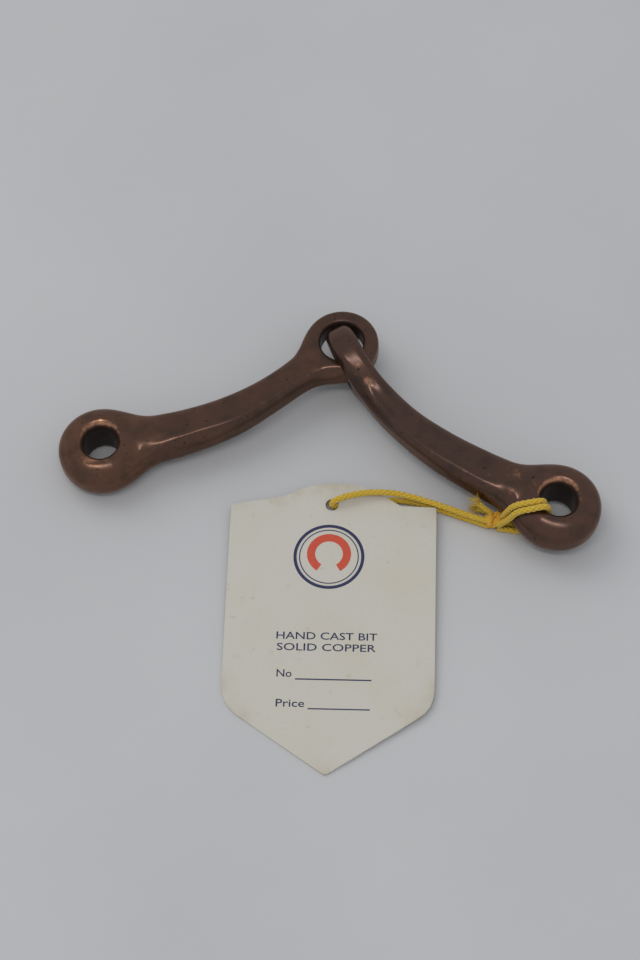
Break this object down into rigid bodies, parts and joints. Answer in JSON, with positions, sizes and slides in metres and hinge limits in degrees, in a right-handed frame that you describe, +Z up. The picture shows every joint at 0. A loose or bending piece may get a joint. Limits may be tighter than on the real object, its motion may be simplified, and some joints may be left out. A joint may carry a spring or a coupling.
{
  "type": "jointed bit mouthpiece",
  "caption": "Single-jointed riding bit mouthpiece: bowed copper cannons linked by interlocking eyes, a bored butt at each end, with a card hang tag on a doubled string.",
  "frame": {"origin": "on the table, under the middle of the box round the two cannons", "axes": "+Z up from the table, +X from the left butt towards the right butt, +Y from the tag towards the linked eyes"},
  "size_m": [0.1262, 0.115, 0.0178],
  "materials": {
    "oxidised_copper_left": "oxidised cast copper, worn bright on its edges; brass stands in for copper",
    "oxidised_copper_right": "oxidised cast copper, worn bright on its edges; brass stands in for copper",
    "tag_card": null,
    "yellow_string": "soft braided yellow string"
  },
  "bodies": {
    "right_side": {"right_cannon": "oxidised_copper_right", "tag_cord": "yellow_string", "neck_loop_a": "yellow_string", "neck_loop_b": "yellow_string", "cord_knot": "yellow_string", "cord_tail_a": "yellow_string", "cord_tail_b": "yellow_string"},
    "left_side": {"left_cannon": "oxidised_copper_left"},
    "tag": {"hang_tag": "tag_card"}
  },
  "joints": [
    {"name": "fold", "type": "hinge", "parent": "right_side", "child": "left_side", "pos_m": [0.0035, 0.02222, 0.0087], "axis": [0, 0, 1], "range_deg": [-170, 25]},
    {"name": "tag_swivel", "type": "hinge", "parent": "right_side", "child": "tag", "pos_m": [0.001, -0.01728, 0.00205], "axis": [0, 0, 1], "range_deg": [-15, 0]}
  ]
}
